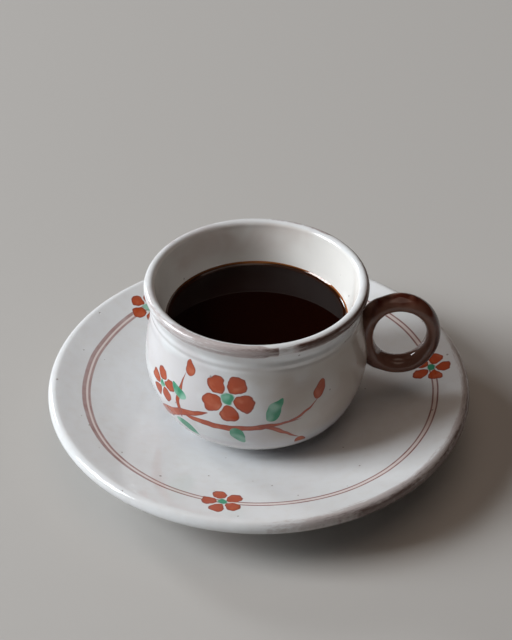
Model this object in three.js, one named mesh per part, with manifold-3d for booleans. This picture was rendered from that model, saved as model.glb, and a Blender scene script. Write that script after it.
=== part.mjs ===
// A small stoneware cup of black coffee on its own saucer.
// Millimetres, +Z up. The origin is the centre of the saucer's foot ring, on the table,
// and the cup's ring handle points along +X.
import * as THREE from 'three';
import { mergeVertices } from 'three/addons/utils/BufferGeometryUtils.js';
import Module from 'manifold-3d';

// Facets round each turned piece, and the clearance between pieces that touch
const SAUCER_FACETS = 64;
const CUP_FACETS = 56;
const CLEARANCE = 0.3;

// Saucer: a dish turned about its axis, with a thick round edge and a foot ring
const SAUCER_RADIUS = 75;
const SAUCER_EDGE_ROLL = 2.6;
const SAUCER_EDGE_Z = 18;
const WELL_RADIUS = 30;
const WELL_Z = 9.4;
const SLOPE_BREAK_RADIUS = 52.7;
const SLOPE_BREAK_Z = 14.9;
const SAUCER_WALL = 4.7;
const SAUCER_FOOT_OUTER = 43;
const SAUCER_FOOT_INNER = 37;
const SAUCER_FOOT_ROUND = 0.8;
const SAUCER_FOOT_FLARE = 1.2;
const SAUCER_RECESS_Z = 4.4;
const EDGE_STEPS = 9;

// Cup: a pot belly on a low foot, a slight neck, and a rolled lip
const CUP_X = -0.75;
const CUP_FOOT_Z = WELL_Z + CLEARANCE;
const CUP_FOOT_OUTER = 23.6;
const CUP_FOOT_INNER = 19.6;
const CUP_FOOT_ROUND = 0.7;
const CUP_FOOT_FLARE = 0.8;
const CUP_FOOT_HEIGHT = 1.6;
const CUP_RECESS_Z = CUP_FOOT_Z + 2.2;
const BELLY_LOW_RADIUS = 33.6;
const BELLY_LOW_Z = 16;
const BELLY_RADIUS = 39;
const BELLY_Z = 31.5;
const SHOULDER_RADIUS = 36.9;
const SHOULDER_Z = 49;
const NECK_RADIUS = 36.4;
const NECK_Z = 55.5;
const LIP_ROLL = 1.9;
const LIP_RADIUS = 38.5;
const LIP_Z = 61.6;
const LIP_UNDERSIDE_ANGLE = -50;
const BELLY_STEPS = 17;
const LIP_STEPS = 8;

// Inside of the cup and the coffee in it
const THROAT_RADIUS = 33.2;
const THROAT_Z = 55;
const COFFEE_Z = 47.5;
const COFFEE_WALL_RADIUS = 31.5;
const BOWL_RADIUS = 33.6;
const BOWL_Z = 33;
const BOWL_LOW_RADIUS = 24;
const BOWL_LOW_Z = 18.2;
const CUP_FLOOR_Z = 15.8;
const THROAT_STEPS = 4;
const BOWL_STEPS = 10;

// Handle: one upright ring for a finger, taller than wide, run into the belly
const HANDLE_X = 49.6;
const HANDLE_Z = 40.2;
const HANDLE_REACH = 12.1;
const HANDLE_STRETCH = 1.12;
const HANDLE_HALF_THICKNESS = 2.6;
const HANDLE_HALF_WIDTH = 4;
const HANDLE_FACETS = 32;
const HANDLE_SECTION_STEPS = 12;

// Colours of the glaze and of the coffee
const GLAZE = { color: 0xdcd9d6, roughness: 0.18, metalness: 0 };
const COFFEE = { color: 0x0d0503, roughness: 0.05, metalness: 0 };

const wasm = await Module();
wasm.setup();

// A point of an outline: distance from the axis, and height
const at = (radius, z) => new THREE.Vector2(radius, z);

// Points on a circular arc of an outline; angles in degrees, 0 outward and 90 up
function arc(center, radius, from, to, steps) {
  const points = [];
  for (let i = 0; i <= steps; i += 1) {
    const angle = THREE.MathUtils.degToRad(from + ((to - from) * i) / steps);
    points.push(at(center.x + radius * Math.cos(angle), center.y + radius * Math.sin(angle)));
  }
  return points;
}

// Evenly spaced points on a smooth curve through a few given ones
function smooth(points, steps) {
  return new THREE.SplineCurve(points).getSpacedPoints(steps);
}

// A flat-bottomed foot ring with rounded corners, from its inner side to its outer side
function footRing(inner, outer, z, round) {
  return [
    ...arc(at(inner + round, z + round), round, 180, 270, 2),
    ...arc(at(outer - round, z + round), round, 270, 360, 2),
  ];
}

// Turns an outline about the upright axis
function turned(outline, facets) {
  return new THREE.LatheGeometry(outline, facets).rotateX(Math.PI / 2);
}

function toSolid(geometry) {
  const bare = geometry.clone();
  bare.deleteAttribute('normal');
  bare.deleteAttribute('uv');
  const merged = mergeVertices(bare);
  return new wasm.Manifold(new wasm.Mesh({
    numProp: 3,
    vertProperties: new Float32Array(merged.attributes.position.array),
    triVerts: new Uint32Array(merged.index.array),
  }));
}

function toGeometry(solid) {
  const mesh = solid.getMesh();
  const geometry = new THREE.BufferGeometry();
  geometry.setAttribute('position', new THREE.BufferAttribute(mesh.vertProperties, mesh.numProp));
  geometry.setIndex(new THREE.BufferAttribute(mesh.triVerts, 1));
  geometry.computeVertexNormals();
  return geometry;
}

function named(name, geometry, look) {
  const mesh = new THREE.Mesh(geometry, new THREE.MeshStandardMaterial(look));
  mesh.name = name;
  return mesh;
}

// The dish: flat well, two gentle slopes, round edge, and the same slopes underneath
function saucerOutline() {
  const edgeCenter = at(SAUCER_RADIUS - SAUCER_EDGE_ROLL, SAUCER_EDGE_Z);
  const slopeAngle = THREE.MathUtils.radToDeg(
    Math.atan2(edgeCenter.y + SAUCER_EDGE_ROLL - SLOPE_BREAK_Z, edgeCenter.x - SLOPE_BREAK_RADIUS),
  );
  const edge = arc(edgeCenter, SAUCER_EDGE_ROLL, slopeAngle - 90, slopeAngle + 90, EDGE_STEPS);
  const footJoin = SAUCER_FOOT_OUTER + SAUCER_FOOT_FLARE;
  const underSlope = (SLOPE_BREAK_Z - WELL_Z) / (SLOPE_BREAK_RADIUS - WELL_RADIUS);
  const footJoinZ = SLOPE_BREAK_Z - SAUCER_WALL - underSlope * (SLOPE_BREAK_RADIUS - footJoin);
  return [
    at(0, SAUCER_RECESS_Z),
    at(SAUCER_FOOT_INNER - SAUCER_FOOT_FLARE, SAUCER_RECESS_Z),
    ...footRing(SAUCER_FOOT_INNER, SAUCER_FOOT_OUTER, 0, SAUCER_FOOT_ROUND),
    at(footJoin, footJoinZ),
    at(SLOPE_BREAK_RADIUS, SLOPE_BREAK_Z - SAUCER_WALL),
    ...edge,
    at(SLOPE_BREAK_RADIUS, SLOPE_BREAK_Z),
    at(WELL_RADIUS, WELL_Z),
    at(0, WELL_Z),
  ];
}

// The wetted inside of the cup, from the coffee's level down to the middle of the floor
function bowlWall() {
  return smooth([
    at(COFFEE_WALL_RADIUS, COFFEE_Z),
    at(BOWL_RADIUS, BOWL_Z),
    at(BOWL_LOW_RADIUS, BOWL_LOW_Z),
    at(0, CUP_FLOOR_Z),
  ], BOWL_STEPS);
}

// The whole cup without its handle: recess, foot, belly, neck, lip, throat, bowl
function cupOutline() {
  const lipCenter = at(LIP_RADIUS - LIP_ROLL, LIP_Z);
  const belly = smooth([
    at(CUP_FOOT_OUTER, CUP_FOOT_Z + CUP_FOOT_HEIGHT),
    at(BELLY_LOW_RADIUS, BELLY_LOW_Z),
    at(BELLY_RADIUS, BELLY_Z),
    at(SHOULDER_RADIUS, SHOULDER_Z),
    at(NECK_RADIUS, NECK_Z),
  ], BELLY_STEPS);
  const throat = smooth([
    at(lipCenter.x - LIP_ROLL, LIP_Z),
    at(THROAT_RADIUS, THROAT_Z),
    at(COFFEE_WALL_RADIUS, COFFEE_Z),
  ], THROAT_STEPS);
  return [
    at(0, CUP_RECESS_Z),
    at(CUP_FOOT_INNER - CUP_FOOT_FLARE, CUP_RECESS_Z),
    ...footRing(CUP_FOOT_INNER, CUP_FOOT_OUTER, CUP_FOOT_Z, CUP_FOOT_ROUND),
    ...belly,
    ...arc(lipCenter, LIP_ROLL, LIP_UNDERSIDE_ANGLE, 180, LIP_STEPS),
    ...throat.slice(1, -1),
    ...bowlWall(),
  ];
}

// The handle ring, turned about the +Y direction and stretched upward
function handleGeometry() {
  const section = [];
  for (let i = 0; i <= HANDLE_SECTION_STEPS; i += 1) {
    const angle = (2 * Math.PI * i) / HANDLE_SECTION_STEPS;
    const radius = HANDLE_REACH + HANDLE_HALF_THICKNESS * Math.cos(angle);
    section.push(at(radius, HANDLE_HALF_WIDTH * Math.sin(angle)));
  }
  return new THREE.LatheGeometry(section, HANDLE_FACETS)
    .scale(1, 1, HANDLE_STRETCH)
    .translate(HANDLE_X, 0, HANDLE_Z);
}

// The coffee fills the bowl up to its level and keeps clear of the wall
function coffeeOutline() {
  const wall = bowlWall();
  const inset = wall.map((point, i) => {
    const before = wall[Math.max(i - 1, 0)];
    const after = wall[Math.min(i + 1, wall.length - 1)];
    const along = after.clone().sub(before).normalize();
    return at(point.x + along.y * CLEARANCE, point.y - along.x * CLEARANCE);
  });
  inset[0].y = COFFEE_Z;
  inset[inset.length - 1] = at(0, CUP_FLOOR_Z + CLEARANCE);
  return [...inset.reverse(), at(0, COFFEE_Z)];
}

const cupBody = toSolid(turned(cupOutline(), CUP_FACETS));
const handle = toSolid(handleGeometry());

const saucer = named('saucer', turned(saucerOutline(), SAUCER_FACETS), GLAZE);
const cup = named('cup', toGeometry(cupBody.add(handle)), GLAZE);
const coffee = named('coffee', turned(coffeeOutline(), CUP_FACETS), COFFEE);

const filledCup = new THREE.Group();
filledCup.position.x = CUP_X;
filledCup.add(cup, coffee);

const part = new THREE.Group();
part.add(saucer, filledCup);

export default part;
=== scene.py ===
import bpy
import math
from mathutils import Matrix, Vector


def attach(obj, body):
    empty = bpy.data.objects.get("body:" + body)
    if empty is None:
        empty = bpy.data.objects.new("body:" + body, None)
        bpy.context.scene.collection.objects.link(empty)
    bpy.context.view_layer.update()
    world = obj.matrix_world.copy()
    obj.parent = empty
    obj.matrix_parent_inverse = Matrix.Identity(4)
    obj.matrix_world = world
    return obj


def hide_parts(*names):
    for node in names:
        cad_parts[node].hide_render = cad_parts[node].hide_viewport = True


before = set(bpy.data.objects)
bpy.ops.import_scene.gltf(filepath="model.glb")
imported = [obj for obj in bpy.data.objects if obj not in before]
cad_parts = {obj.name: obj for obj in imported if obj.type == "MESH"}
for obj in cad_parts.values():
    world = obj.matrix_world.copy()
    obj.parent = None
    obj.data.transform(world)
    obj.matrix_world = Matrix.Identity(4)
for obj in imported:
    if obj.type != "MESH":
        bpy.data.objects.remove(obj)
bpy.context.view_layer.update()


# The viewpoint: a long lens a little over half a metre from the cup, looking down at it from
# the front, with the handle to the right.
MM = 0.001
CAMERA_PLACE = Vector((-0.96, -431.3, 377.4)) * MM
CAMERA_DOWN = math.radians(37.54)
CAMERA_NEAREST = 0.01
LENS_MM = 88.19

bpy.ops.object.camera_add(location=CAMERA_PLACE, rotation=(math.pi / 2 - CAMERA_DOWN, 0, 0))
camera = bpy.context.object
camera.name = "viewpoint"
camera.data.lens = LENS_MM
camera.data.clip_start = CAMERA_NEAREST
bpy.context.scene.camera = camera
bpy.context.scene.view_settings.view_transform = "Standard"


# The studio: a pale floor, a broad soft window light from the left, a weaker one from behind
# left, a weak warm light above, and a little light from everywhere else.
FLOOR_SIZE = 12
FLOOR_COLOR = (0.47, 0.455, 0.435, 1)
FLOOR_ROUGHNESS = 0.7
SHINE_AT = Vector((0, 0, 0.03))
WINDOW_DISTANCE = 5
WINDOW_COLOR = (0.92, 0.965, 1)
WINDOWS = (
    # name, turn and rise in degrees, size in metres, watts
    ("window", 183, 31, (2.3, 2.5), 315),
    ("back_window", 137, 22, (0.9, 1.4), 75),
)
CEILING_PLACE = Vector((0.2, 0.2, 4.2))
CEILING_SIZE = (4, 4)
CEILING_WATTS = 34
CEILING_COLOR = (1, 0.8, 0.67)
ROOM_COLOR = (1, 0.86, 0.76, 1)
ROOM_STRENGTH = 0.025

bpy.ops.mesh.primitive_plane_add(size=FLOOR_SIZE)
floor = bpy.context.object
floor.name = "floor"
floor_paint = bpy.data.materials.new("pale_floor")
floor_paint.use_nodes = True
shader = floor_paint.node_tree.nodes["Principled BSDF"]
shader.inputs["Base Color"].default_value = FLOOR_COLOR
shader.inputs["Roughness"].default_value = FLOOR_ROUGHNESS
floor.data.materials.append(floor_paint)


def add_lamp(name, place, size, watts, color):
    """A soft lamp with the size of a window, turned so that it shines at the cup."""
    bpy.ops.object.light_add(type="AREA", location=place)
    lamp = bpy.context.object
    lamp.name = name
    lamp.rotation_euler = (SHINE_AT - lamp.location).to_track_quat("-Z", "Y").to_euler()
    lamp.data.shape = "RECTANGLE"
    lamp.data.size, lamp.data.size_y = size
    lamp.data.energy = watts
    lamp.data.color = color


for name, turn, rise, size, watts in WINDOWS:
    turn = math.radians(turn)
    rise = math.radians(rise)
    way = Vector((math.cos(rise) * math.cos(turn), math.cos(rise) * math.sin(turn), math.sin(rise)))
    add_lamp(name, WINDOW_DISTANCE * way, size, watts, WINDOW_COLOR)
add_lamp("ceiling", CEILING_PLACE, CEILING_SIZE, CEILING_WATTS, CEILING_COLOR)

room = bpy.data.worlds.new("room")
room.use_nodes = True
room.node_tree.nodes["Background"].inputs["Color"].default_value = ROOM_COLOR
room.node_tree.nodes["Background"].inputs["Strength"].default_value = ROOM_STRENGTH
bpy.context.scene.world = room


# Saucer: a heavy stoneware dish with a thick round edge and a foot ring, thrown on a wheel and
# glazed off-white. The outline of half of it is drawn point by point and spun round the upright
# axis. Two fine iron lines carry three blossoms, and iron wash runs along the edge at the right.
SAUCER_RADIUS = 75
SAUCER_EDGE_ROLL = 2.6
SAUCER_EDGE_Z = 18
SLOPE_BREAK = (52.7, 14.9)
BELOW_BREAK = (51.5, 14.6)
SLOPE_FOOT = (32, 9.9)
WELL_EDGE = (29, 9.4)
WELL_RADIUS = 30
WELL_Z = 9.4
SAUCER_WALL = 4.7
SAUCER_FOOT = (37, 43)
SAUCER_FOOT_ROUND = 0.8
SAUCER_FOOT_FLARE = 1.2
SAUCER_RECESS_Z = 4.4
SAUCER_STEPS = 128
SAUCER_WOBBLE = 0.35
SAUCER_WOBBLE_SIZE = 70

# Colours of the glaze, the clay under it, the iron wash, and the red and the green paint
WHITE = (0.715, 0.727, 0.737, 1)
LILAC = (0.6, 0.565, 0.575, 1)
WARM_SHADE = (0.62, 0.58, 0.53, 1)
BARE_CLAY = (0.42, 0.31, 0.22, 1)
PIT_BROWN = (0.2, 0.14, 0.11, 1)
WASH_THIN = (0.34, 0.255, 0.24, 1)
WASH_THICK = (0.11, 0.062, 0.05, 1)
IRON_RED = (0.41, 0.06, 0.014, 1)
IRON_RED_PALE = (0.51, 0.13, 0.06, 1)
IRON_RED_RIM = (0.2, 0.035, 0.02, 1)
LEAF_GREEN = (0.02, 0.27, 0.14, 1)
LEAF_GREEN_PALE = (0.27, 0.52, 0.4, 1)

# Painted lines, blossoms and wash. Both lines run round the same point, and each has its own
# radius and spread. What fades in has the place where it starts and then the place where it is
# full. A cloud holds the values that wander takes, and noise those that noise takes.
SAUCER_PATCHES = 0.1
LINE_CENTER = (0.93, 0.29)
LINE_RADII = (61.3, 62.94)
LINE_SPREADS = (0.16, 0.42)
LINE_HALF_WIDTH = 0.27
LINE_SOFTNESS = 0.16
LINE_CLOUD = (0.05, 0.7)
LINE_RED = (0.2, 0.065, 0.06, 1)
LINE_FADED = (0.4, 0.27, 0.26, 1)
FADED_WAY = 175
FADED_SPREAD = (0.3, 1)
FADED_SHIFT = 0.6
FADED_COVER = 0.8
WORN_NOISE = (0.25, 2)
WORN_LEAST = 0.6
WORN_SWING = 0.5
BLUSH = (0.74, 0.6, 0.56, 1)
BLUSH_START = (60.7, 61.5)
BLUSH_END = (63.54, 62.74)
BLUSH_COVER = 0.6
BLOSSOM_WAYS = (-102, 134, 7.5)
BLOSSOM_RADIUS = 62
BLOSSOM_SIZE = 14
EDGE_WASH_WAY = -30
EDGE_WASH_SPREAD = (0.35, 0.95)
EDGE_WASH_RADII = (69.5, 76)
EDGE_WASH_LIMIT = (67, 69)
EDGE_WASH_VEIL = 0.55
EDGE_WASH_STREAKS = 0.85
SAUCER_CLAY_BELOW = (1.4, 0.9)


def arc(center, radius, start, end, steps):
    """Points on a circular arc of an outline; degrees, 0 outward and 90 up."""
    points = []
    for i in range(steps + 1):
        angle = math.radians(start + (end - start) * i / steps)
        points.append((center[0] + radius * math.cos(angle), center[1] + radius * math.sin(angle)))
    return points


def straight(start, end, steps):
    """Points on a straight stretch, without its last."""
    return [
        (start[0] + (end[0] - start[0]) * i / steps, start[1] + (end[1] - start[1]) * i / steps)
        for i in range(steps)
    ]


def foot_ring(inner, outer, z, rounding):
    """A flat-bottomed foot ring with rounded corners, from its inner side to its outer side."""
    return [
        *arc((inner + rounding, z + rounding), rounding, 180, 270, 4),
        *arc((outer - rounding, z + rounding), rounding, 270, 360, 4),
    ]


def throw(name, outline, steps, axis_x=0):
    """Draws an outline in millimetres, a point at a time, and spins it into a piece."""
    bpy.ops.object.select_all(action="DESELECT")
    bpy.ops.mesh.primitive_plane_add(size=MM)
    piece = bpy.context.object
    piece.name = name
    bpy.ops.object.mode_set(mode="EDIT")
    bpy.ops.mesh.merge(type="CENTER")
    bpy.ops.transform.translate(value=(outline[0][0] * MM, 0, outline[0][1] * MM))
    for (radius, z), (next_radius, next_z) in zip(outline, outline[1:]):
        step = ((next_radius - radius) * MM, 0, (next_z - z) * MM)
        bpy.ops.mesh.extrude_region_move(TRANSFORM_OT_translate={"value": step})
    bpy.ops.mesh.select_all(action="SELECT")
    bpy.ops.mesh.spin(steps=steps, angle=math.tau, center=(0, 0, 0), axis=(0, 0, 1))
    bpy.ops.mesh.select_all(action="SELECT")
    bpy.ops.mesh.remove_doubles(threshold=1e-6)
    bpy.ops.mesh.normals_make_consistent(inside=False)
    bpy.ops.transform.translate(value=(axis_x * MM, 0, 0))
    bpy.ops.object.mode_set(mode="OBJECT")
    bpy.ops.object.shade_smooth()
    return piece


def round_off(piece):
    """Rounds the facets of a piece."""
    bpy.ops.object.select_all(action="DESELECT")
    piece.select_set(True)
    bpy.context.view_layer.objects.active = piece
    rounding = piece.modifiers.new("rounding", "SUBSURF")
    rounding.levels = 1
    rounding.render_levels = 1
    bpy.ops.object.modifier_apply(modifier=rounding.name)


def make_uneven(piece, depth, size):
    """Gives the piece just rounded off the slight unevenness of hand work."""
    pattern = bpy.data.textures.new(piece.name + "_wobble", "CLOUDS")
    pattern.noise_scale = size * MM
    pattern.noise_depth = 0
    uneven = piece.modifiers.new("uneven", "DISPLACE")
    uneven.texture = pattern
    uneven.texture_coords = "LOCAL"
    uneven.strength = depth * MM
    uneven.mid_level = 0.5
    bpy.ops.object.modifier_apply(modifier=uneven.name)


edge_center = (SAUCER_RADIUS - SAUCER_EDGE_ROLL, SAUCER_EDGE_Z)
slope = math.degrees(math.atan2(
    edge_center[1] + SAUCER_EDGE_ROLL - SLOPE_BREAK[1], edge_center[0] - SLOPE_BREAK[0],
))
under_break = (SLOPE_BREAK[0], SLOPE_BREAK[1] - SAUCER_WALL)
inner_slope = (SLOPE_BREAK[1] - WELL_Z) / (SLOPE_BREAK[0] - WELL_RADIUS)
foot_join = SAUCER_FOOT[1] + SAUCER_FOOT_FLARE
foot_join_z = under_break[1] - inner_slope * (SLOPE_BREAK[0] - foot_join)
recess_edge = (SAUCER_FOOT[0] - SAUCER_FOOT_FLARE, SAUCER_RECESS_Z)
edge = arc(edge_center, SAUCER_EDGE_ROLL, slope - 90, slope + 90, 16)
saucer_outline = [
    *straight((0, SAUCER_RECESS_Z), recess_edge, 8),
    recess_edge,
    *foot_ring(*SAUCER_FOOT, 0, SAUCER_FOOT_ROUND),
    (foot_join, foot_join_z),
    *straight(under_break, edge[0], 5),
    *edge,
    *straight(edge[-1], SLOPE_BREAK, 6)[1:],
    *straight(BELOW_BREAK, SLOPE_FOOT, 6),
    *straight(WELL_EDGE, (0, WELL_Z), 8),
    (0, WELL_Z),
]
saucer = throw("saucer_dish", saucer_outline, SAUCER_STEPS)
round_off(saucer)
make_uneven(saucer, SAUCER_WOBBLE, SAUCER_WOBBLE_SIZE)
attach(saucer, "root")
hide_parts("saucer")


def add(tree, kind, inputs=None, **settings):
    """Adds a shader node; each input is a plain value or another node's output."""
    node = tree.nodes.new(kind)
    for key, value in settings.items():
        setattr(node, key, value)
    for key, value in (inputs or {}).items():
        if isinstance(value, bpy.types.NodeSocket):
            tree.links.new(value, node.inputs[key])
        else:
            node.inputs[key].default_value = value
    return node


def calc(tree, operation, *values):
    """One step of arithmetic on numbers."""
    return add(tree, "ShaderNodeMath", dict(enumerate(values)), operation=operation).outputs[0]


def vector_calc(tree, operation, *values):
    """One step of arithmetic on points."""
    return add(tree, "ShaderNodeVectorMath", dict(enumerate(values)), operation=operation).outputs[0]


def total(tree, operation, *values):
    """The same step over several numbers, such as the product or the largest of them."""
    result = values[0]
    for value in values[1:]:
        result = calc(tree, operation, result, value)
    return result


def distance(tree, x, y):
    """The length of a way from its two parts."""
    return calc(tree, "SQRT", calc(tree, "ADD", calc(tree, "POWER", x, 2), calc(tree, "POWER", y, 2)))


def parts(tree, point):
    """The parts of a point or of a direction along X, Y and Z."""
    return add(tree, "ShaderNodeSeparateXYZ", {0: point}).outputs


def flat_point(tree, x, y):
    """A point on a flat drawing."""
    return add(tree, "ShaderNodeCombineXYZ", {"X": x, "Y": y}).outputs[0]


def fade(tree, value, start, end):
    """Eases from 0 at start to 1 at end."""
    values = {0: value, 1: start, 2: end}
    return add(tree, "ShaderNodeMapRange", values, interpolation_type="SMOOTHSTEP").outputs[0]


def tint(tree, factor, under, over):
    """Lays one colour over another."""
    return add(tree, "ShaderNodeMix", {0: factor, 6: under, 7: over}, data_type="RGBA").outputs[2]


def noise(tree, point, scale, detail, distortion=0):
    """Cloudy variation from 0 to 1; scale is in features for each millimetre."""
    values = {"Vector": point, "Scale": scale, "Detail": detail, "Distortion": distortion}
    return add(tree, "ShaderNodeTexNoise", values).outputs[0]


def wander(tree, value, point, scale, swing, detail=1, distortion=0):
    """Lets a value swing to both sides of itself from place to place."""
    cloud = noise(tree, point, scale, detail, distortion)
    return calc(tree, "ADD", value, calc(tree, "MULTIPLY_ADD", cloud, swing, -swing / 2))


def toward(tree, turn, degrees):
    """1 on the side of a round piece that faces this way, -1 on the far side."""
    return calc(tree, "COSINE", calc(tree, "SUBTRACT", turn, math.radians(degrees + 180)))


def new_group(name, inputs, outputs):
    """A node group with the named sockets; returns it with its inner ends."""
    tree = bpy.data.node_groups.new(name, "ShaderNodeTree")
    for label, kind in inputs.items():
        tree.interface.new_socket(label, in_out="INPUT", socket_type="NodeSocket" + kind)
    for label, kind in outputs.items():
        tree.interface.new_socket(label, in_out="OUTPUT", socket_type="NodeSocket" + kind)
    return tree, add(tree, "NodeGroupInput").outputs, add(tree, "NodeGroupOutput").inputs


def put_out(tree, result, **values):
    """Links what a group has worked out to its outputs."""
    for label, value in values.items():
        tree.links.new(value, result[label])


def use(tree, group, **inputs):
    """Places a node group and returns its outputs."""
    return add(tree, "ShaderNodeGroup", inputs, node_tree=group).outputs


def new_look(name):
    """A material with its node tree and its shader."""
    material = bpy.data.materials.new(name)
    material.use_nodes = True
    return material, material.node_tree, material.node_tree.nodes["Principled BSDF"]


def millimetres(tree, shift=(0, 0, 0)):
    """Points of the piece in millimetres, moved by a shift."""
    place = add(tree, "ShaderNodeTexCoord").outputs["Object"]
    values = {"Vector": place, "Location": shift, "Scale": (1 / MM, 1 / MM, 1 / MM)}
    return add(tree, "ShaderNodeMapping", values).outputs[0]


def raise_surface(tree, shader, height):
    """Gives the shader a relief in millimetres."""
    bump = add(tree, "ShaderNodeBump", {"Height": height, "Distance": MM, "Strength": 1})
    tree.links.new(bump.outputs[0], shader.inputs["Normal"])


# Where a point lies on a thrown piece: its turn round the axis from the left side through the
# front, its distance from the axis, and its height.
wheel, given, result = new_group(
    "place_on_wheel",
    {"Point": "Vector"},
    {"Turn": "Float", "Radius": "Float", "Height": "Float"},
)
place = parts(wheel, given["Point"])
left = calc(wheel, "MULTIPLY", place["X"], -1)
front = calc(wheel, "MULTIPLY", place["Y"], -1)
put_out(
    wheel, result,
    Turn=calc(wheel, "ARCTAN2", front, left),
    Radius=distance(wheel, place["X"], place["Y"]),
    Height=place["Z"],
)

# The glaze itself: off-white with soft lilac patches, a faint warm mottle, a slightly uneven
# skin and pinholes.
PATCH_NOISE = (0.055, 1, 0.6)
PATCH_EDGE = (0.47, 0.6)
MOTTLE_NOISE = (0.3, 3)
MOTTLE_EDGE = (0.4, 0.8)
MOTTLE_COVER = 0.2
PINHOLE_SCALE = 0.15
PINHOLE_SMALLEST = 0.2
PINHOLE_SPREAD = 0.3
PINHOLE_EDGE = (0, 0.1)
PINHOLE_DEPTH = -0.2
SWELL_NOISE = (0.16, 1)
SWELL_HEIGHT = 0.12
GRAIN_NOISE = (1.1, 2)
GRAIN_HEIGHT = 0.006
skin, given, result = new_group(
    "glaze_skin",
    {"Point": "Vector", "Patches": "Float"},
    {"Color": "Color", "Mottle": "Float", "Pit": "Float", "Relief": "Float"},
)
patch = fade(skin, noise(skin, given["Point"], *PATCH_NOISE), *PATCH_EDGE)
patched = tint(skin, calc(skin, "MULTIPLY", patch, given["Patches"]), WHITE, LILAC)
mottle = noise(skin, given["Point"], *MOTTLE_NOISE)
warm = calc(skin, "MULTIPLY", fade(skin, mottle, *MOTTLE_EDGE), MOTTLE_COVER)
cells = add(skin, "ShaderNodeTexVoronoi", {"Vector": given["Point"], "Scale": PINHOLE_SCALE}, feature="F1")
chance = add(skin, "ShaderNodeSeparateColor", {0: cells.outputs["Color"]}).outputs[1]
pit_size = calc(skin, "MULTIPLY_ADD", chance, PINHOLE_SPREAD, PINHOLE_SMALLEST)
pit_distance = calc(skin, "DIVIDE", cells.outputs["Distance"], PINHOLE_SCALE)
pit = fade(skin, calc(skin, "SUBTRACT", pit_size, pit_distance), *PINHOLE_EDGE)
swell = calc(skin, "MULTIPLY", noise(skin, given["Point"], *SWELL_NOISE), SWELL_HEIGHT)
grain = calc(skin, "MULTIPLY", noise(skin, given["Point"], *GRAIN_NOISE), GRAIN_HEIGHT)
dent = calc(skin, "MULTIPLY", pit, PINHOLE_DEPTH)
put_out(
    skin, result,
    Color=tint(skin, warm, patched, WARM_SHADE),
    Mottle=mottle,
    Pit=pit,
    Relief=total(skin, "ADD", swell, grain, dent),
)

# Iron wash brushed along an edge: a thin mauve veil and thick dark brown streaks, broken up by
# the broad streaks of the brush and the fine ones of its hairs, both drawn out lengthwise.
BRUSH_STREAKS = (
    # scale around, scale across, swing, detail
    (0.07, 0.9, 0.9, 4),
    (0.5, 4, 0.5, 2),
)
VEIL_LOAD = (0.18, 0.5)
STREAK_LOAD = (0.55, 0.95)
wash, given, result = new_group(
    "iron_wash",
    {"Under": "Color", "Around": "Float", "Across": "Float", "Amount": "Float", "Where": "Float",
     "Veil": "Float", "Streaks": "Float"},
    {"Color": "Color", "Thin": "Float"},
)
loaded = given["Amount"]
for scale_around, scale_across, swing, detail in BRUSH_STREAKS:
    brushed = flat_point(
        wash,
        calc(wash, "MULTIPLY", given["Around"], scale_around),
        calc(wash, "MULTIPLY", given["Across"], scale_across),
    )
    loaded = wander(wash, loaded, brushed, 1, swing, detail)
thin = calc(wash, "MULTIPLY", fade(wash, loaded, *VEIL_LOAD), given["Where"])
thick = calc(wash, "MULTIPLY", fade(wash, loaded, *STREAK_LOAD), given["Where"])
veiled = tint(wash, calc(wash, "MULTIPLY", thin, given["Veil"]), given["Under"], WASH_THIN)
streaked = tint(wash, calc(wash, "MULTIPLY", thick, given["Streaks"]), veiled, WASH_THICK)
put_out(wash, result, Color=streaked, Thin=thin)


def shaken(tree, point, start, scale, shake):
    """The way from a start to a point, with the shake of a hand."""
    cloud = add(tree, "ShaderNodeTexNoise", {"Vector": point, "Scale": scale, "Detail": 1})
    aside = vector_calc(tree, "ADD", cloud.outputs["Color"], (-0.5, -0.5, 0))
    aside = vector_calc(tree, "MULTIPLY", aside, (shake, shake, 0))
    return vector_calc(tree, "ADD", vector_calc(tree, "SUBTRACT", point, start), aside)


PAINT_EDGE = (0, 0.22)
RIM_EDGE = 0.1


def painted_shape(tree, inside, rim_width):
    """A painted shape and its darker rim, from how far inside it a point lies."""
    mask = fade(tree, inside, *PAINT_EDGE)
    return mask, calc(tree, "MULTIPLY", mask, fade(tree, inside, rim_width, RIM_EDGE))


# A five-petalled blossom: one petal, turned round its heart five times. The petal's middle, half
# length and half width, and the heart, are parts of the blossom's size.
PETAL_STEP = math.tau / 5
PETAL_MIDDLE = 0.31
PETAL_HALF_LENGTH = 0.2
PETAL_HALF_WIDTH = 0.105
PETAL_WIDENS = 0.25
PETAL_ROUNDNESS = 0.17
PETAL_RIM = 0.8
PETAL_SHAKE = (0.3, 2.2)
HEART_EDGE = (0.13, 0.09)
blossom, given, result = new_group(
    "blossom",
    {"Point": "Vector", "Center": "Vector", "Turn": "Float", "Size": "Float"},
    {"Mask": "Float", "Rim": "Float", "Heart": "Float"},
)
offset = parts(blossom, shaken(blossom, given["Point"], given["Center"], *PETAL_SHAKE))
angle = calc(blossom, "ADD", calc(blossom, "ARCTAN2", offset["Y"], offset["X"]), given["Turn"])
angle = calc(blossom, "WRAP", angle, PETAL_STEP / 2, -PETAL_STEP / 2)
reach = calc(blossom, "DIVIDE", distance(blossom, offset["X"], offset["Y"]), given["Size"])
petal_x = calc(blossom, "MULTIPLY", reach, calc(blossom, "COSINE", angle))
petal_y = calc(blossom, "MULTIPLY", reach, calc(blossom, "SINE", angle))
half_width = calc(blossom, "MULTIPLY_ADD", petal_x, PETAL_WIDENS, PETAL_HALF_WIDTH)
out_along = calc(blossom, "DIVIDE", calc(blossom, "SUBTRACT", petal_x, PETAL_MIDDLE), PETAL_HALF_LENGTH)
out_across = calc(blossom, "DIVIDE", petal_y, half_width)
inside = calc(blossom, "SUBTRACT", 1, distance(blossom, out_along, out_across))
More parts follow.
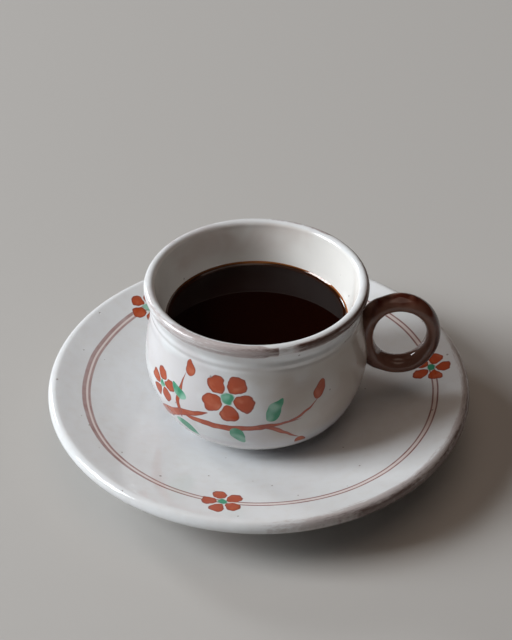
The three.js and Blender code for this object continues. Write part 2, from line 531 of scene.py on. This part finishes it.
inside = total(blossom, "MULTIPLY", inside, PETAL_ROUNDNESS, given["Size"])
mask, rim = painted_shape(blossom, inside, PETAL_RIM)
put_out(blossom, result, Mask=mask, Rim=rim, Heart=fade(blossom, reach, *HEART_EDGE))

# The red and the green strokes laid over the glaze, each paler where the brush ran dry.
RED_DRY_NOISE = (0.2, 2, 0.4)
RED_DRY_EDGE = (0.45, 0.78)
GREEN_DRY_NOISE = (0.16, 1)
GREEN_DRY_EDGE = (0.45, 0.68)
RED_COVER = 0.98
RIM_COVER = 0.8
GREEN_COVER = 0.95
brushwork, given, result = new_group(
    "brushwork",
    {"Under": "Color", "Point": "Vector", "Red": "Float", "Rim": "Float", "Green": "Float"},
    {"Color": "Color"},
)
dry_red = fade(brushwork, noise(brushwork, given["Point"], *RED_DRY_NOISE), *RED_DRY_EDGE)
dry_green = fade(brushwork, noise(brushwork, given["Point"], *GREEN_DRY_NOISE), *GREEN_DRY_EDGE)
red = tint(brushwork, dry_red, IRON_RED, IRON_RED_PALE)
red = tint(brushwork, calc(brushwork, "MULTIPLY", given["Rim"], RIM_COVER), red, IRON_RED_RIM)
green = tint(brushwork, dry_green, LEAF_GREEN, LEAF_GREEN_PALE)
drawn = tint(brushwork, calc(brushwork, "MULTIPLY", given["Red"], RED_COVER), given["Under"], red)
drawn = tint(brushwork, calc(brushwork, "MULTIPLY", given["Green"], GREEN_COVER), drawn, green)
put_out(brushwork, result, Color=drawn)

# How a glazed piece comes out of the kiln: dark pinholes, dull bare clay, a duller shine on
# iron wash, and paint that stands up a little.
PIT_COVER = 0.6
GLAZE_ROUGHNESS = 0.05
MOTTLE_ROUGHNESS = 0.08
WASH_ROUGHNESS = 0.12
CLAY_ROUGHNESS = 0.6
PAINT_HEIGHT = 0.02
fired, given, result = new_group(
    "fired_glaze",
    {"Color": "Color", "Mottle": "Float", "Pit": "Float", "Relief": "Float", "Wash": "Float",
     "Clay": "Float", "Paint": "Float"},
    {"Color": "Color", "Roughness": "Float", "Height": "Float"},
)
pitted = tint(fired, calc(fired, "MULTIPLY", given["Pit"], PIT_COVER), given["Color"], PIT_BROWN)
gloss = calc(fired, "MULTIPLY_ADD", given["Mottle"], MOTTLE_ROUGHNESS, GLAZE_ROUGHNESS)
gloss = calc(fired, "MULTIPLY_ADD", given["Wash"], WASH_ROUGHNESS, gloss)
put_out(
    fired, result,
    Color=tint(fired, given["Clay"], pitted, BARE_CLAY),
    Roughness=calc(fired, "MULTIPLY_ADD", given["Clay"], CLAY_ROUGHNESS, gloss),
    Height=calc(fired, "MULTIPLY_ADD", given["Paint"], PAINT_HEIGHT, given["Relief"]),
)


def finish_glaze(tree, shader, glaze, **values):
    """Joins the colour, gloss and relief of a glazed piece."""
    out = use(
        tree, fired, Mottle=glaze["Mottle"], Pit=glaze["Pit"], Relief=glaze["Relief"], **values,
    )
    tree.links.new(out["Color"], shader.inputs["Base Color"])
    tree.links.new(out["Roughness"], shader.inputs["Roughness"])
    raise_surface(tree, shader, out["Height"])


saucer_glaze, tree, shader = new_look("saucer_glaze")
point = millimetres(tree)
placed = use(tree, wheel, Point=point)
glaze = use(tree, skin, Point=point, Patches=SAUCER_PATCHES)

# The lines, blurred and faded at the left, and the blush between them
line_point = millimetres(tree, (-LINE_CENTER[0], -LINE_CENTER[1], 0))
line_radius = use(tree, wheel, Point=line_point)["Radius"]
line_radius = wander(tree, line_radius, point, *LINE_CLOUD)
faded = fade(tree, toward(tree, placed["Turn"], FADED_WAY), *FADED_SPREAD)
blush = total(
    tree, "MULTIPLY", BLUSH_COVER,
    fade(tree, line_radius, *BLUSH_START),
    fade(tree, line_radius, *BLUSH_END),
)
color = tint(tree, blush, glaze["Color"], BLUSH)
lines = []
for radius, spread in zip(LINE_RADII, LINE_SPREADS):
    middle = calc(tree, "MULTIPLY_ADD", faded, FADED_SHIFT * spread, radius)
    half_width = calc(tree, "MULTIPLY_ADD", faded, spread, LINE_HALF_WIDTH)
    off_line = calc(tree, "ABSOLUTE", calc(tree, "SUBTRACT", line_radius, middle))
    inside = calc(tree, "SUBTRACT", half_width, off_line)
    lines.append(fade(tree, inside, -LINE_SOFTNESS, LINE_SOFTNESS))
worn = calc(tree, "MULTIPLY_ADD", noise(tree, point, *WORN_NOISE), WORN_SWING, WORN_LEAST)
line = calc(tree, "MULTIPLY", total(tree, "MAXIMUM", *lines), worn)
line_color = tint(tree, calc(tree, "MULTIPLY", faded, FADED_COVER), LINE_RED, LINE_FADED)
color = tint(tree, line, color, line_color)

# Three blossoms on the lines
reds = []
rims = []
greens = []
drawing = vector_calc(tree, "MULTIPLY", point, (1, 1, 0))
for way in BLOSSOM_WAYS:
    turn = math.radians(way)
    center = (
        LINE_CENTER[0] + BLOSSOM_RADIUS * math.cos(turn),
        LINE_CENTER[1] + BLOSSOM_RADIUS * math.sin(turn),
        0,
    )
    flower = use(tree, blossom, Point=drawing, Center=center, Turn=turn, Size=BLOSSOM_SIZE)
    reds.append(flower["Mask"])
    rims.append(flower["Rim"])
    greens.append(flower["Heart"])
red = total(tree, "MAXIMUM", *reds)
rim = total(tree, "MAXIMUM", *rims)
green = total(tree, "MAXIMUM", *greens)
color = use(tree, brushwork, Under=color, Point=point, Red=red, Rim=rim, Green=green)["Color"]

# Wash along the edge, and bare clay under the foot ring
wash_side = fade(tree, toward(tree, placed["Turn"], EDGE_WASH_WAY), *EDGE_WASH_SPREAD)
wash_amount = calc(tree, "MULTIPLY", fade(tree, placed["Radius"], *EDGE_WASH_RADII), wash_side)
washed = use(
    tree, wash, Under=color, Veil=EDGE_WASH_VEIL, Streaks=EDGE_WASH_STREAKS,
    Around=calc(tree, "MULTIPLY", placed["Turn"], SAUCER_RADIUS),
    Across=placed["Radius"],
    Amount=wash_amount,
    Where=fade(tree, placed["Radius"], *EDGE_WASH_LIMIT),
)
finish_glaze(
    tree, shader, glaze,
    Color=washed["Color"],
    Wash=washed["Thin"],
    Clay=fade(tree, placed["Height"], *SAUCER_CLAY_BELOW),
    Paint=calc(tree, "MAXIMUM", line, red),
)
saucer.data.materials.append(saucer_glaze)


# Cup: a pot-bellied stoneware cup on a low foot, thrown and glazed like the saucer, with a slight
# neck that keeps its throwing ridges and a thick rolled lip. A spray of blossom is drawn on the
# belly, with a small sprig at the back, and the lip is brushed with iron wash.
CUP_X = -0.75
CUP_FOOT_Z = 9.7
CUP_FOOT = (19.6, 23.6)
CUP_FOOT_ROUND = 0.7
CUP_FOOT_FLARE = 0.8
CUP_RECESS_Z = 11.9
BELLY = [(23.6, 11.3), (33.6, 16), (39, 31.5), (36.9, 49)]
THROWING_RIDGES = [(36.7, 51.4), (36.35, 52.7), (36.6, 54.2), (36.25, 55.7), (36.55, 57.2)]
LIP_CENTER = (36.6, 61.6)
LIP_ROLL = 1.9
LIP_UNDERSIDE_ANGLE = -50
THROAT = (33.2, 55)
COFFEE_Z = 47.5
COFFEE_WALL_RADIUS = 31.5
BOWL = [(COFFEE_WALL_RADIUS, COFFEE_Z), (33.6, 33), (24, 18.2), (0, 15.8)]
CUP_STEPS = 112
CUP_WOBBLE = 0.3
CUP_WOBBLE_SIZE = 35

# Glaze: paler, warmer inside as painted light, painted shade high on the far side, lilac low on
# the belly, and painted shade at the right
CUP_PATCHES = 0.55
OUTSIDE_RADII = (35.2, 35.8)
INSIDE_RADII = (35.6, 34.6)
INSIDE_HEIGHTS = (14, 16)
INSIDE_PAINTED_LIGHT = (0.79, 0.765, 0.73, 1)
INSIDE_SHADE_WAY = 105
INSIDE_SHADE_CLOUD = (0.06, 1.3, 2, 0.6)
INSIDE_SHADE_SPREAD = (0.55, 1.15)
INSIDE_SHADE_HEIGHTS = (49, 55)
INSIDE_SHADE_COVER = 0.55
PAINTED_INSIDE_SHADE = (0.58, 0.46, 0.41, 1)
LOW_CLOUD = (0.08, 5)
LILAC_BAND = (0.62, 0.575, 0.59, 1)
LILAC_BAND_START = (12, 13)
LILAC_BAND_END = (21.5, 20.5)
LILAC_BAND_COVER = 0.4
SIDE_SHADE_WAY = -25
SIDE_SHADE_CLOUD = (0.035, 1.2, 2, 0.5)
SIDE_SHADE_SPREAD = (0.35, 0.9)
SIDE_SHADE_ABOVE = (18, 27)
SIDE_SHADE_BELOW = (57, 50)
SIDE_SHADE_COVER = 0.7
PAINTED_SIDE_SHADE = (0.45, 0.37, 0.3, 1)

# Painting, in millimetres on the belly unrolled from the left side through the front
BELLY_REFERENCE = 38
SPRAY_STROKES = (
    # start along, start height, turn in degrees, length, width, bend, lean
    (15, 17, 31, 33, 4.2, 1.6, 0.4),
    (34, 28.8, 5, 41, 3, -0.6, 0.5),
    (32, 26, 84, 21, 1.8, 1.4, 0.5),
    (60, 31.4, -32, 18, 1.8, 1.2, 0.5),
    (68, 31, 32, 16, 1.3, -1, 0.5),
    (-78, 23, 22, 30, 2.4, 1.6, 0.4),
    (-62, 30, 62, 12, 1.3, 0.8, 0.5),
)
BUDS = (
    (80, 38.5, 60, 7, 4.4, 0, 0.1),
    (74.5, 22, -62, 6, 4, 0, 0.1),
    (36, 45.5, 98, 6.4, 4, 0, 0.1),
    (-56, 41, 62, 6, 3.8, 0, 0.1),
)
LEAVES = (
    (29, 24, -35, 11, 5, 0.9, 0.2),
    (52, 30, -66, 9, 4.6, -0.6, 0.2),
    (64, 33, 64, 10, 4.4, 0.7, 0.2),
    (35, 36, 150, 8, 3.8, 0.5, 0.2),
    (-60, 28, -38, 9, 4.2, 0.6, 0.2),
)
FLOWERS = (
    # along, height, turn in radians, size
    (50, 41.5, 0.2, 18.5),
    (23, 36, 0.9, 13),
    (-74, 38, 0.5, 14),
)
PAINT_BELOW = (57.5, 57)
PAINT_RADII = (24, 27)

# Wash on the lip, with a gap of bare glaze at the front, and the stain round the handle's foot
LIP_WASH_WAY = -38
LIP_WASH_SPREAD = (-0.95, 0.3)
LIP_HEAVY_WAY = -20
LIP_HEAVY_SPREAD = (0.05, 0.7)
LIP_LOAD_ALL_ROUND = 0.2
LIP_LOAD_AT_SIDE = 0.26
LIP_LOAD_HEAVY = 0.45
LIP_STEP_SPREAD = (0.36, 0.46)
LIP_STEP = -1.2
LIP_WASH_RADII = (35.9, 36.8)
LIP_WASH_HEIGHTS = (58.2, 59.6)
LIP_LIMIT_RADII = (35.4, 36.2)
LIP_LIMIT_HEIGHTS = (57.6, 58.6)
LIP_WASH_VEIL = 0.7
LIP_WASH_STREAKS = 1
LIP_GAP_START = (-79.4, -78.8)
LIP_GAP_END = (-67, -73)
LIP_GAP_LOAD = -0.65
HANDLE_Z = 40.2
STAIN_SIZE = (8.5, 15)
STAIN_CLOUD = (0.14, 0.9, 3)
STAIN_EDGE = (1.2, 0.6)
STAIN_FROM_X = (34.5, 35.5)
STAIN_COVER = 0.7
STAIN_BROWN = (0.17, 0.1, 0.075, 1)
CUP_CLAY_BELOW = (10.9, 10.4)


def smooth(points, steps):
    """Points on a smooth curve through a few given ones, with so many steps for each span."""
    path = [points[0], *points, points[-1]]
    curve = []
    for a, b, c, d in zip(path, path[1:], path[2:], path[3:]):
        for i in range(steps):
            t = i / steps
            curve.append(tuple(
                b[k] + 0.5 * t * (c[k] - a[k] + t * (2 * a[k] - 5 * b[k] + 4 * c[k] - d[k]
                                                      + t * (3 * (b[k] - c[k]) + d[k] - a[k])))
                for k in (0, 1)
            ))
    return [*curve, points[-1]]


cup_recess_edge = (CUP_FOOT[0] - CUP_FOOT_FLARE, CUP_RECESS_Z)
throat = smooth([(LIP_CENTER[0] - LIP_ROLL, LIP_CENTER[1]), THROAT, BOWL[0]], 6)
cup_outline = [
    *straight((0, CUP_RECESS_Z), cup_recess_edge, 5),
    cup_recess_edge,
    *foot_ring(*CUP_FOOT, CUP_FOOT_Z, CUP_FOOT_ROUND),
    *smooth(BELLY, 8)[:-1],
    *smooth([BELLY[-1], *THROWING_RIDGES], 4),
    *arc(LIP_CENTER, LIP_ROLL, LIP_UNDERSIDE_ANGLE, 180, 16),
    *throat[1:-1],
    *smooth(BOWL, 7),
]
cup = throw("cup_body", cup_outline, CUP_STEPS, CUP_X)
round_off(cup)
make_uneven(cup, CUP_WOBBLE, CUP_WOBBLE_SIZE)
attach(cup, "root")
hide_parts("cup")

# One stroke of a loaded brush: it starts at a point, runs one way, may bend, and may be fatter
# at its start (lean above 0) or at its end.
STROKE_SHAKE = (0.16, 2.4)
STROKE_RIM = 0.75
stroke, given, result = new_group(
    "brush_stroke",
    {"Point": "Vector", "Start": "Vector", "Turn": "Float", "Length": "Float", "Width": "Float",
     "Bend": "Float", "Lean": "Float"},
    {"Mask": "Float", "Rim": "Float"},
)
offset = shaken(stroke, given["Point"], given["Start"], *STROKE_SHAKE)
turn_back = calc(stroke, "MULTIPLY", given["Turn"], -1)
turned = add(
    stroke, "ShaderNodeVectorRotate", {"Vector": offset, "Angle": turn_back}, rotation_type="Z_AXIS",
)
turned = parts(stroke, turned.outputs[0])
along = calc(stroke, "DIVIDE", turned["X"], given["Length"])
arch = total(stroke, "MULTIPLY", along, calc(stroke, "SUBTRACT", 1, along), 4)
arch = calc(stroke, "MAXIMUM", arch, 0)
bend = calc(stroke, "MULTIPLY", given["Bend"], arch)
aside = calc(stroke, "ABSOLUTE", calc(stroke, "SUBTRACT", turned["Y"], bend))
lean = calc(stroke, "MULTIPLY_ADD", calc(stroke, "MULTIPLY_ADD", along, -2, 1), given["Lean"], 1)
half_width = total(stroke, "MULTIPLY", given["Width"], 0.5, calc(stroke, "SQRT", arch), lean)
mask, rim = painted_shape(stroke, calc(stroke, "SUBTRACT", half_width, aside), STROKE_RIM)
put_out(stroke, result, Mask=mask, Rim=rim)

cup_glaze, tree, shader = new_look("cup_glaze")
point = millimetres(tree, (-CUP_X, 0, 0))
placed = use(tree, wheel, Point=point)
turn = placed["Turn"]
radius = placed["Radius"]
height = placed["Height"]
glaze = use(tree, skin, Point=point, Patches=CUP_PATCHES)

# The glaze inside, paler and warmer as painted light, with painted shade high on its far side,
# then the lilac band and the painted shade on the right side
outside = fade(tree, radius, *OUTSIDE_RADII)
inside = calc(tree, "MULTIPLY", fade(tree, radius, *INSIDE_RADII), fade(tree, height, *INSIDE_HEIGHTS))
# Painted light: the inside wall, away from the pinholes, is made paler and warmer than the glaze outside
painted_light_inside = calc(tree, "MULTIPLY", inside, fade(tree, glaze["Pit"], 1, 0))
color = tint(tree, painted_light_inside, glaze["Color"], INSIDE_PAINTED_LIGHT)
# Painted shade: a brownish patch high on the far inside wall, along the edge of the shadow there
inside_shade = wander(tree, toward(tree, turn, INSIDE_SHADE_WAY), point, *INSIDE_SHADE_CLOUD)
inside_shade = total(
    tree, "MULTIPLY", INSIDE_SHADE_COVER, inside,
    fade(tree, inside_shade, *INSIDE_SHADE_SPREAD),
    fade(tree, height, *INSIDE_SHADE_HEIGHTS),
)
color = tint(tree, inside_shade, color, PAINTED_INSIDE_SHADE)
low = wander(tree, height, point, *LOW_CLOUD)
band = total(
    tree, "MULTIPLY", LILAC_BAND_COVER,
    fade(tree, low, *LILAC_BAND_START),
    fade(tree, low, *LILAC_BAND_END),
)
color = tint(tree, band, color, LILAC_BAND)
# Painted shade: the belly's right side, turned away from the window, is darkened to a brown tone
side_shade = wander(tree, toward(tree, turn, SIDE_SHADE_WAY), point, *SIDE_SHADE_CLOUD)
side_shade = total(
    tree, "MULTIPLY", SIDE_SHADE_COVER, outside,
    fade(tree, side_shade, *SIDE_SHADE_SPREAD),
    fade(tree, low, *SIDE_SHADE_ABOVE),
    fade(tree, height, *SIDE_SHADE_BELOW),
)
color = tint(tree, side_shade, color, PAINTED_SIDE_SHADE)

# The spray and the sprig
unrolled = flat_point(tree, calc(tree, "MULTIPLY", turn, BELLY_REFERENCE), height)
reds = []
rims = []
greens = []
for kind, marks in ((reds, SPRAY_STROKES), (reds, BUDS), (greens, LEAVES)):
    for start, start_height, way, length, width, bend, lean in marks:
        mark = use(
            tree, stroke, Point=unrolled, Start=(start, start_height, 0), Turn=math.radians(way),
            Length=length, Width=width, Bend=bend, Lean=lean,
        )
        kind.append(mark["Mask"])
        if kind is reds:
            rims.append(mark["Rim"])
for start, start_height, way, size in FLOWERS:
    flower = use(tree, blossom, Point=unrolled, Center=(start, start_height, 0), Turn=way, Size=size)
    reds.append(flower["Mask"])
    rims.append(flower["Rim"])
    greens.append(flower["Heart"])
red = total(tree, "MAXIMUM", *reds)
rim = total(tree, "MAXIMUM", *rims)
green = total(tree, "MAXIMUM", *greens)
drawn = use(tree, brushwork, Under=color, Point=unrolled, Red=red, Rim=rim, Green=green)["Color"]
on_belly = total(
    tree, "MULTIPLY", outside,
    fade(tree, height, *PAINT_BELOW),
    fade(tree, radius, *PAINT_RADII),
)
color = tint(tree, on_belly, color, drawn)

# Wash on the lip: more of it at the right, where it also reaches further down the outside
lip_heavy = toward(tree, turn, LIP_HEAVY_WAY)
lip_load = fade(tree, toward(tree, turn, LIP_WASH_WAY), *LIP_WASH_SPREAD)
lip_load = calc(tree, "MULTIPLY_ADD", lip_load, LIP_LOAD_AT_SIDE, LIP_LOAD_ALL_ROUND)
lip_more = fade(tree, lip_heavy, *LIP_HEAVY_SPREAD)
lip_load = calc(tree, "MULTIPLY_ADD", lip_more, LIP_LOAD_HEAVY, lip_load)
lip_radius = calc(tree, "MULTIPLY_ADD", fade(tree, lip_heavy, *LIP_STEP_SPREAD), LIP_STEP, radius)
degrees = calc(tree, "MULTIPLY_ADD", turn, 180 / math.pi, -180)
gap = calc(tree, "MULTIPLY", fade(tree, degrees, *LIP_GAP_START), fade(tree, degrees, *LIP_GAP_END))
lip_load = total(
    tree, "MULTIPLY", lip_load,
    fade(tree, lip_radius, *LIP_WASH_RADII),
    fade(tree, height, *LIP_WASH_HEIGHTS),
    calc(tree, "MULTIPLY_ADD", gap, LIP_GAP_LOAD, 1),
)
on_lip = calc(
    tree, "MULTIPLY",
    fade(tree, height, *LIP_LIMIT_HEIGHTS),
    fade(tree, radius, *LIP_LIMIT_RADII),
)
washed = use(
    tree, wash, Under=color, Veil=LIP_WASH_VEIL, Streaks=LIP_WASH_STREAKS,
    Around=calc(tree, "MULTIPLY", turn, BELLY_REFERENCE),
    Across=height,
    Amount=lip_load,
    Where=on_lip,
)

# Iron that ran from the handle's foot into the white glaze, and bare clay under the foot ring
place = parts(tree, point)
stain = distance(
    tree,
    calc(tree, "DIVIDE", place["Y"], STAIN_SIZE[0]),
    calc(tree, "DIVIDE", calc(tree, "SUBTRACT", height, HANDLE_Z), STAIN_SIZE[1]),
)
stain = fade(tree, wander(tree, stain, point, *STAIN_CLOUD), *STAIN_EDGE)
stain = total(tree, "MULTIPLY", STAIN_COVER, stain, fade(tree, place["X"], *STAIN_FROM_X))
finish_glaze(
    tree, shader, glaze,
    Color=tint(tree, stain, washed["Color"], STAIN_BROWN),
    Wash=washed["Thin"],
    Clay=fade(tree, height, *CUP_CLAY_BELOW),
    Paint=red,
)
cup.data.materials.append(cup_glaze)


# Handle: one ring of rolled clay, taller than wide, pressed upright against the belly and smeared
# on where it touches. Its thick iron glaze is dark red-brown, and grey-brown where it ran thin. The
# grey-brown is also laid on the flat and inner sides as painted reflection, and toward the top and
# the cup as painted highlight.
HANDLE_CENTER = Vector((49.6 + CUP_X, 0, HANDLE_Z)) * MM
HANDLE_REACH = 12.1
HANDLE_STRETCH = 1.12
HANDLE_HALF_THICKNESS = 2.6
HANDLE_HALF_WIDTH = 4
HANDLE_STEPS = 72
HANDLE_SECTION_STEPS = 24
HANDLE_WOBBLE = 0.3
HANDLE_WOBBLE_SIZE = 12
WALL_X = 39.6 + CUP_X
SMEAR = 0.9
SMEAR_REACH = 6
IRON_DARK = (0.055, 0.009, 0.004, 1)
IRON_RUSSET = (0.115, 0.026, 0.012, 1)
IRON_BROKEN_AND_SHEEN = (0.2, 0.1, 0.072, 1)
IRON_NOISE = (0.13, 2, 0.3)
IRON_ROUGHNESS = 0.03
IRON_ROUGHNESS_SWING = 0.06
RUSSET_EDGE = (0.4, 0.65)
BROKEN_AND_SHEEN_COVER = 0.9
PAINTED_SHEEN_OUTWARD = -0.5
PAINTED_SHEEN_UPWARD = 0.2
PAINTED_SHEEN_RIGHT = -0.3
THIN_AND_SHEEN_SPREAD = (0.06, 0.42)

bpy.ops.object.select_all(action="DESELECT")
bpy.ops.mesh.primitive_torus_add(
    major_radius=HANDLE_REACH * MM, minor_radius=HANDLE_HALF_THICKNESS * MM,
    major_segments=HANDLE_STEPS, minor_segments=HANDLE_SECTION_STEPS,
)
handle = bpy.context.object
handle.name = "cup_handle"
bpy.ops.object.mode_set(mode="EDIT")
bpy.ops.transform.rotate(value=math.pi / 2, orient_axis="X", center_override=(0, 0, 0))
bpy.ops.transform.resize(
    value=(1, HANDLE_HALF_WIDTH / HANDLE_HALF_THICKNESS, HANDLE_STRETCH), center_override=(0, 0, 0),
)
bpy.ops.transform.translate(value=HANDLE_CENTER)
bpy.ops.mesh.normals_make_consistent(inside=False)
bpy.ops.mesh.select_mode(type="VERT")
bpy.ops.mesh.select_all(action="DESELECT")
bpy.ops.object.mode_set(mode="OBJECT")
for vertex in handle.data.vertices:
    vertex.select = vertex.co.x < WALL_X * MM
bpy.ops.object.mode_set(mode="EDIT")
bpy.ops.transform.shrink_fatten(
    value=SMEAR * MM, use_proportional_edit=True,
    proportional_edit_falloff="SMOOTH", proportional_size=SMEAR_REACH * MM,
)
bpy.ops.object.mode_set(mode="OBJECT")
bpy.ops.object.shade_smooth()
round_off(handle)
make_uneven(handle, HANDLE_WOBBLE, HANDLE_WOBBLE_SIZE)
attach(handle, "root")
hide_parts("cup")

handle_glaze, tree, shader = new_look("handle_iron_glaze")
point = millimetres(tree)
glaze = use(tree, skin, Point=point, Patches=0)
run = noise(tree, point, *IRON_NOISE)
facing = parts(tree, add(tree, "ShaderNodeTexCoord").outputs["Normal"])
ring = parts(tree, millimetres(tree, -HANDLE_CENTER / MM))
outward = calc(
    tree, "DIVIDE",
    calc(tree, "ADD", calc(tree, "MULTIPLY", facing["X"], ring["X"]),
         calc(tree, "MULTIPLY", facing["Z"], ring["Z"])),
    distance(tree, ring["X"], ring["Z"]),
)
# Painted reflection and highlight: grey-brown laid on the inner, upward and cup-facing sides, on top of
# where the glaze ran thin
thin_and_sheen = calc(tree, "MULTIPLY_ADD", calc(tree, "MAXIMUM", outward, 0), PAINTED_SHEEN_OUTWARD, run)
thin_and_sheen = calc(tree, "MULTIPLY_ADD", facing["Z"], PAINTED_SHEEN_UPWARD, thin_and_sheen)
thin_and_sheen = calc(tree, "MULTIPLY_ADD", facing["X"], PAINTED_SHEEN_RIGHT, thin_and_sheen)
broken_and_sheen = calc(tree, "MULTIPLY", fade(tree, thin_and_sheen, *THIN_AND_SHEEN_SPREAD), BROKEN_AND_SHEEN_COVER)
color = tint(tree, fade(tree, run, *RUSSET_EDGE), IRON_DARK, IRON_RUSSET)
color = tint(tree, broken_and_sheen, color, IRON_BROKEN_AND_SHEEN)
roughness = calc(tree, "MULTIPLY_ADD", run, IRON_ROUGHNESS_SWING, IRON_ROUGHNESS)
tree.links.new(tint(tree, glaze["Pit"], color, IRON_DARK), shader.inputs["Base Color"])
tree.links.new(roughness, shader.inputs["Roughness"])
raise_surface(tree, shader, glaze["Relief"])
handle.data.materials.append(handle_glaze)


# Coffee: plain black coffee that fills the bowl, spun like the cup. It reaches just into the wall
# and curls up a little where it wets the glaze. It is clear and almost black, and amber only
# where it thins against the wall; the amber is made stronger at the back right as painted light.
COFFEE_INTO_WALL = 0.25
MENISCUS = [(0.6, 1.2), (0.25, 1.12), (0.02, 0.8), (-0.25, 0.47), (-0.65, 0.2), (-1.15, 0.05)]
LEVEL_WITHIN = 2
COFFEE_STEPS = 96
BLACK_COFFEE = (0.005, 0.0007, 0.0002, 1)
BROWN_COFFEE = (0.022, 0.006, 0.002, 1)
BROWN_WIDTH = 2.5
AMBER = (0.33, 0.11, 0.025, 1)
LIT_AMBER_WAY = 30
LIT_AMBER_SPREAD = (-0.3, 0.9)
AMBER_ALL_ROUND = 0.2
AMBER_AT_LIT_SIDE = 0.8
AMBER_CLIMB = (0.3, 0.95)
WET_CLIMB = (0.1, 0.4)
COFFEE_EDGE_CLOUD = (0.12, 0.5)
RIPPLE_NOISE = (0.04, 0)
RIPPLE_HEIGHT = 0.05
COFFEE_ROUGHNESS = 0.03
COFFEE_IOR = 1.33
COFFEE_SPECULAR = 0.24

coffee_floor = [
    (radius + COFFEE_INTO_WALL if radius else 0, z - COFFEE_INTO_WALL) for radius, z in smooth(BOWL, 7)
]
coffee_outline = [
    *reversed(coffee_floor[1:]),
    *[(COFFEE_WALL_RADIUS + out, COFFEE_Z + up) for out, up in MENISCUS],
    *straight((COFFEE_WALL_RADIUS - LEVEL_WITHIN, COFFEE_Z), (0, COFFEE_Z), 10),
    (0, COFFEE_Z),
]
coffee = throw("coffee_fill", coffee_outline, COFFEE_STEPS, CUP_X)
round_off(coffee)
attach(coffee, "root")
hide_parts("coffee")

coffee_look, tree, shader = new_look("black_coffee")
point = millimetres(tree, (-CUP_X, 0, 0))
placed = use(tree, wheel, Point=point)
near_wall = wander(tree, placed["Radius"], point, *COFFEE_EDGE_CLOUD)
near_wall = fade(tree, near_wall, COFFEE_WALL_RADIUS - BROWN_WIDTH, COFFEE_WALL_RADIUS)
climb = wander(tree, placed["Height"], point, *COFFEE_EDGE_CLOUD)
climb = calc(tree, "SUBTRACT", climb, COFFEE_Z)
# Painted light: the amber is stronger at the back right, where the wall behind the thin coffee is lit
amber_and_light = fade(tree, toward(tree, placed["Turn"], LIT_AMBER_WAY), *LIT_AMBER_SPREAD)
amber_and_light = calc(tree, "MULTIPLY_ADD", amber_and_light, AMBER_AT_LIT_SIDE, AMBER_ALL_ROUND)
amber_and_light = calc(tree, "MULTIPLY", fade(tree, climb, *AMBER_CLIMB), amber_and_light)
color = tint(tree, near_wall, BLACK_COFFEE, BROWN_COFFEE)
color = tint(tree, amber_and_light, color, AMBER)
tree.links.new(color, shader.inputs["Base Color"])
tree.links.new(fade(tree, climb, *WET_CLIMB), shader.inputs["Coat Weight"])
shader.inputs["Roughness"].default_value = COFFEE_ROUGHNESS
shader.inputs["IOR"].default_value = COFFEE_IOR
shader.inputs["Specular IOR Level"].default_value = COFFEE_SPECULAR
raise_surface(tree, shader, calc(tree, "MULTIPLY", noise(tree, point, *RIPPLE_NOISE), RIPPLE_HEIGHT))
coffee.data.materials.append(coffee_look)
